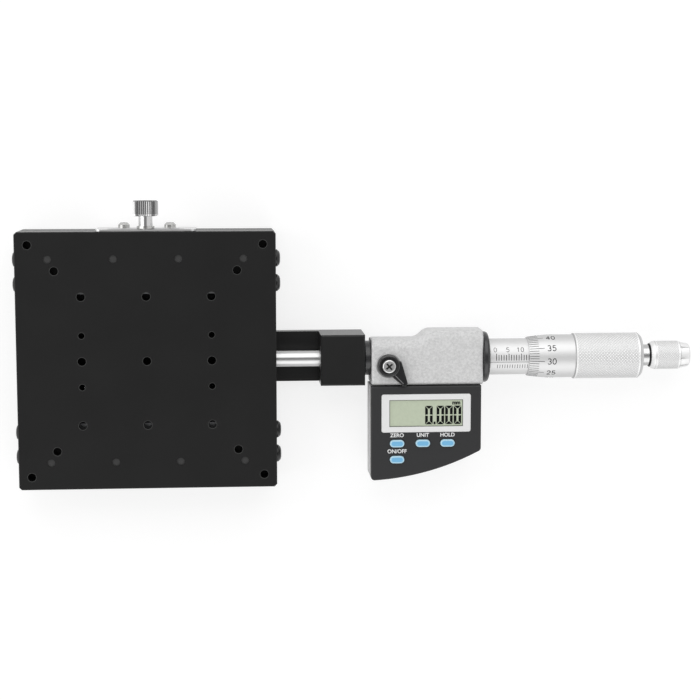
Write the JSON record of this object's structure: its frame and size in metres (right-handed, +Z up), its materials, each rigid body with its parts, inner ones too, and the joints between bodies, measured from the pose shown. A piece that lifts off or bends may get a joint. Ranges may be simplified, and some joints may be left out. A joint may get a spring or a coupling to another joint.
{
  "type": "linear translation stage",
  "caption": "Square crossed-roller linear stage with a digital micrometer drive in a side bracket, a spring-returned table and a knurled table lock.",
  "frame": {"origin": "middle of the base's underside, under the middle of the table at mid travel", "axes": "+X along the travel towards the micrometer, +Y across towards the table lock, +Z up to the table face"},
  "size_m": [0.2677, 0.1117, 0.0256],
  "materials": {
    "black_anodised": "fine matt black anodised",
    "black_bracket": "satin black anodised",
    "bearing_steel": "ground",
    "brass_cage": "satin",
    "black_screw": "black oxide",
    "bright_screw": "bright nickel",
    "spring_steel": "bright rolled",
    "polished_steel": "ground and polished",
    "satin_chrome": "satin chrome",
    "cast_paint": "fine textured silver-grey paint",
    "dark_ring": "satin black",
    "cover_plastic": "fine matt",
    "bezel_plastic": "satin white",
    "lcd_glass": "grey-green display",
    "button_plastic": "light blue",
    "silicone": "matt",
    "board": "solder resist",
    "cell": "plated",
    "hard_pad": "lapped",
    "bronze": "turned"
  },
  "bodies": {
    "base": {"base_plate": "black_anodised", "base_rail_near": "bearing_steel", "base_rail_far": "bearing_steel", "base_rail_screws": "black_screw", "base_end_screws": "black_screw", "base_spring_posts": "bearing_steel", "spring_near": "spring_steel", "spring_far": "spring_steel", "lock_plate": "spring_steel", "lock_plate_screws": "bright_screw", "micrometer_bracket": "black_bracket", "bracket_screws": "black_screw", "stem_clamp_screw": "black_screw", "stem": "satin_chrome", "stem_nut": "dark_ring", "micrometer_body": "cast_paint", "display_cover": "cover_plastic", "display_bezel": "bezel_plastic", "lcd_panel": "lcd_glass", "display_connector": "silicone", "circuit_board": "board", "button_pad": "silicone", "battery": "cell", "battery_contact": "spring_steel", "cover_screws": "black_screw", "encoder_stator": "board", "sleeve_ring": "dark_ring", "sleeve": "satin_chrome", "spindle_nut": "bronze", "lever_collar": "cast_paint"},
    "table": {"table_plate": "black_anodised", "table_rail_near": "bearing_steel", "table_rail_far": "bearing_steel", "table_rail_screws": "black_screw", "table_end_screws": "black_screw", "table_spring_posts": "bearing_steel", "contact_block": "black_bracket", "contact_pad": "hard_pad", "contact_screws": "black_screw"},
    "cages": {"roller_cage_near": "brass_cage", "roller_cage_far": "brass_cage", "rollers_near": "bearing_steel", "rollers_far": "bearing_steel"},
    "thimble": {"spindle": "polished_steel", "thimble": "satin_chrome", "ratchet_stem": "polished_steel"},
    "ratchet": {"ratchet_knob": "satin_chrome", "ratchet_spring": "spring_steel"},
    "encoder": {"encoder_rotor": "board"},
    "lever": {"lock_lever": "dark_ring", "lever_screw": "bright_screw"},
    "lock_washer": {"lock_washer": "bright_screw"},
    "thumb_screw": {"thumb_screw": "bright_screw"},
    "zero_button": {"zero_button": "button_plastic"},
    "unit_button": {"unit_button": "button_plastic"},
    "hold_button": {"hold_button": "button_plastic"},
    "power_button": {"power_button": "button_plastic"},
    "battery_cap": {"battery_cap": "cover_plastic"}
  },
  "joints": [
    {"name": "thimble_turn", "type": "hinge", "parent": "table", "child": "thimble", "pos_m": [0.175, -0.001, 0.013], "axis": [1, 0, 0], "range_deg": [-9001, 9001]},
    {"name": "table_slide", "type": "slide", "parent": "base", "child": "table", "axis": [1, 0, 0], "range_m": [-0.0125, 0.0125], "deforming": ["spring_near", "spring_far"]},
    {"name": "cage_slide", "type": "slide", "parent": "base", "child": "cages", "axis": [1, 0, 0], "range_m": [-0.00626, 0.00626]},
    {"name": "encoder_turn", "type": "hinge", "parent": "base", "child": "encoder", "pos_m": [0.117, -0.001, 0.013], "axis": [1, 0, 0], "range_deg": [-9001, 9001]},
    {"name": "ratchet_turn", "type": "hinge", "parent": "thimble", "child": "ratchet", "pos_m": [0.208, -0.001, 0.013], "axis": [1, 0, 0], "continuous": true},
    {"name": "lock_lever_turn", "type": "hinge", "parent": "base", "child": "lever", "pos_m": [0.094, -0.0031, 0.0235], "axis": [0, 0, 1], "range_deg": [-30, 60]},
    {"name": "lock_washer_slide", "type": "slide", "parent": "table", "child": "lock_washer", "axis": [0, 1, 0], "range_m": [-0.000175, 0.000175]},
    {"name": "thumb_screw_turn", "type": "hinge", "parent": "lock_washer", "child": "thumb_screw", "pos_m": [0, 0.056, 0.02], "axis": [0, 1, 0], "range_deg": [-90.1, 90.1]},
    {"name": "zero_button_press", "type": "slide", "parent": "base", "child": "zero_button", "axis": [0, 0, -1], "range_m": [0, 0.0005], "stiffness_N_per_m": 400},
    {"name": "unit_button_press", "type": "slide", "parent": "base", "child": "unit_button", "axis": [0, 0, -1], "range_m": [0, 0.0005], "stiffness_N_per_m": 400},
    {"name": "hold_button_press", "type": "slide", "parent": "base", "child": "hold_button", "axis": [0, 0, -1], "range_m": [0, 0.0005], "stiffness_N_per_m": 400},
    {"name": "power_button_press", "type": "slide", "parent": "base", "child": "power_button", "axis": [0, 0, -1], "range_m": [0, 0.0005], "stiffness_N_per_m": 400},
    {"name": "battery_cap_turn", "type": "hinge", "parent": "base", "child": "battery_cap", "pos_m": [0.105, -0.0335, 0.0055], "axis": [0, 0, 1], "range_deg": [0, 60]}
  ],
  "couplings": [
    {"joint": "thimble_turn", "follows": "table_slide", "rad_per_m": 12566},
    {"joint": "cage_slide", "follows": "table_slide", "ratio": 0.5},
    {"joint": "encoder_turn", "follows": "table_slide", "rad_per_m": 12566},
    {"joint": "thumb_screw_turn", "follows": "lock_washer_slide", "rad_per_m": 8976}
  ]
}
